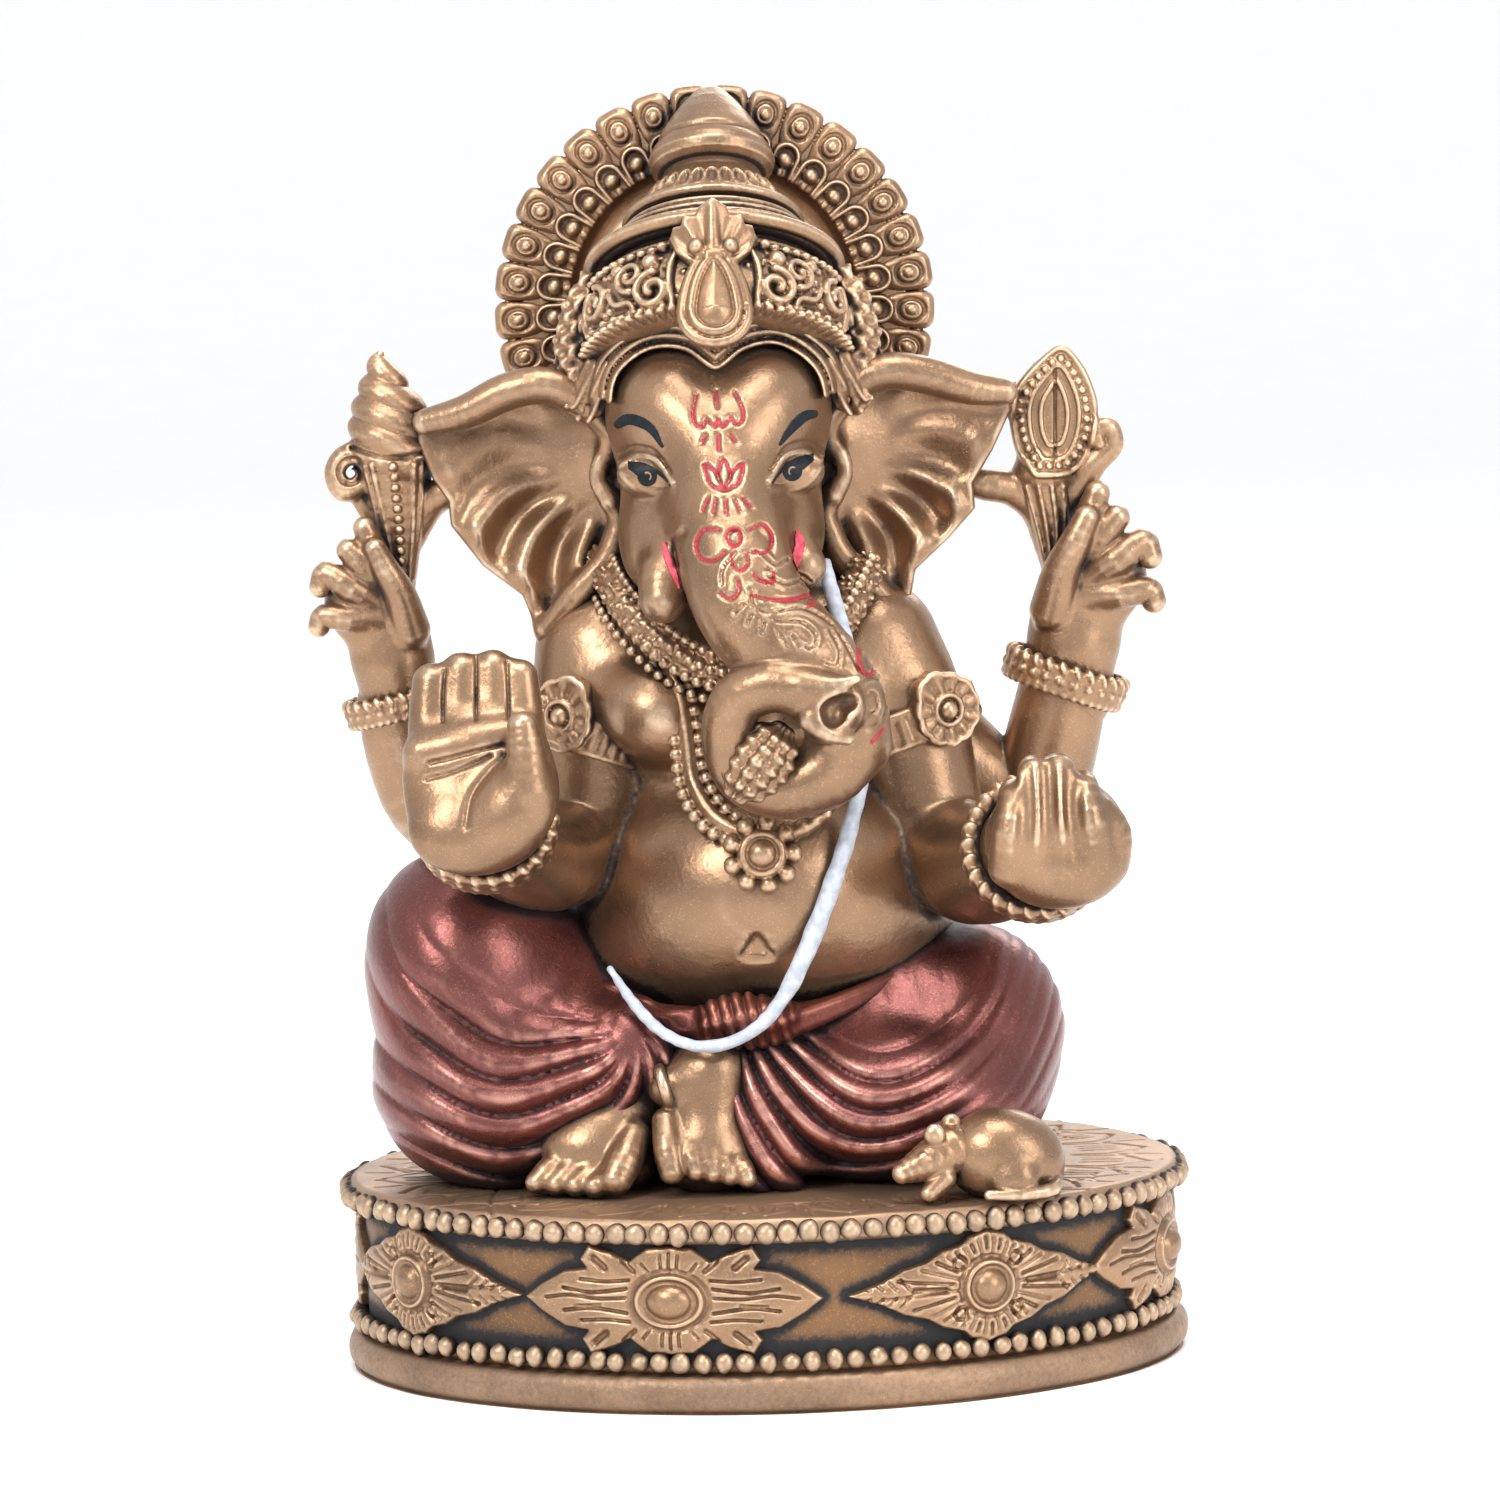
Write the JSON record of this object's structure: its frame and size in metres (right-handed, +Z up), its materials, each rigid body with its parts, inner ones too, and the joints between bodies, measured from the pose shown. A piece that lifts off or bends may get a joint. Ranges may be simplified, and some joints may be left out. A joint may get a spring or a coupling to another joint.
{
  "type": "devotional figurine",
  "caption": "Seated elephant-headed household deity figurine with raised palm, halo and crown on an oval beaded plinth, painted as antique bronze.",
  "frame": {"origin": "centre of the plinth's flat underside", "axes": "+Z up; the figure faces -Y; +X is the viewer's right, which is the figure's left"},
  "size_m": [0.1021, 0.0786, 0.1498],
  "materials": {
    "bronze_skin": "satin metallic bronze-gold paint over cast resin, dark antique wash in the hollows",
    "gold_relief": "satin metallic gold paint over cast resin, dark brown wash in the engraving",
    "plinth_bronze": "satin bronze paint over cast resin, brown-black wash on the recessed side band",
    "burgundy_cloth": "satin metallic burgundy paint over cast folds, coppery ridges and dark grooves",
    "copper_sash": "satin metallic copper paint over cast resin",
    "white_thread": "matt off-white paint on a raised cast cord",
    "red_mark": "satin crimson paint",
    "pink_lip": "satin rose-red paint",
    "slate_brow": "matt blue-grey paint",
    "eye_paint": "pale gold eye with a dark painted iris"
  },
  "bodies": {
    "root": {"torso": "bronze_skin", "right_rear_arm": "bronze_skin", "left_rear_arm": "bronze_skin", "right_front_arm": "bronze_skin", "left_front_arm": "bronze_skin", "right_foot": "bronze_skin", "left_foot": "bronze_skin", "right_ear": "bronze_skin", "left_ear": "bronze_skin", "head": "bronze_skin", "trunk": "bronze_skin", "right_tusk": "bronze_skin", "left_tusk": "bronze_skin", "right_rear_hand": "bronze_skin", "left_rear_hand": "bronze_skin", "right_front_hand": "bronze_skin", "left_front_hand": "bronze_skin", "trunk_sweet": "bronze_skin", "mouse_body": "bronze_skin", "mouse_head": "bronze_skin", "upper_bead_row": "gold_relief", "lower_bead_row": "gold_relief", "flower_medallions": "gold_relief", "diamond_medallions": "gold_relief", "halo_disc": "gold_relief", "halo_outer_petals": "gold_relief", "halo_inner_petals": "gold_relief", "collar": "gold_relief", "long_necklace": "gold_relief", "pendant": "gold_relief", "crown_diadem": "gold_relief", "right_side_ornament": "gold_relief", "left_side_ornament": "gold_relief", "hair_band": "gold_relief", "crown_lower_brim": "gold_relief", "crown_upper_brim": "gold_relief", "crown_finial": "gold_relief", "crown_crest": "gold_relief", "right_emblem": "gold_relief", "left_emblem": "gold_relief", "right_armlet": "gold_relief", "left_armlet": "gold_relief", "right_front_bracelet": "gold_relief", "left_front_bracelet": "gold_relief", "right_rear_bracelet": "gold_relief", "left_rear_bracelet": "gold_relief", "plinth_foot": "plinth_bronze", "plinth_drum": "plinth_bronze", "plinth_slab": "plinth_bronze", "dhoti_seat": "burgundy_cloth", "right_leg": "burgundy_cloth", "left_leg": "burgundy_cloth", "waist_sash": "copper_sash", "sacred_thread": "white_thread", "forehead_mark": "red_mark", "lips": "pink_lip", "brows": "slate_brow", "eyes": "eye_paint"}
  },
  "joints": []
}
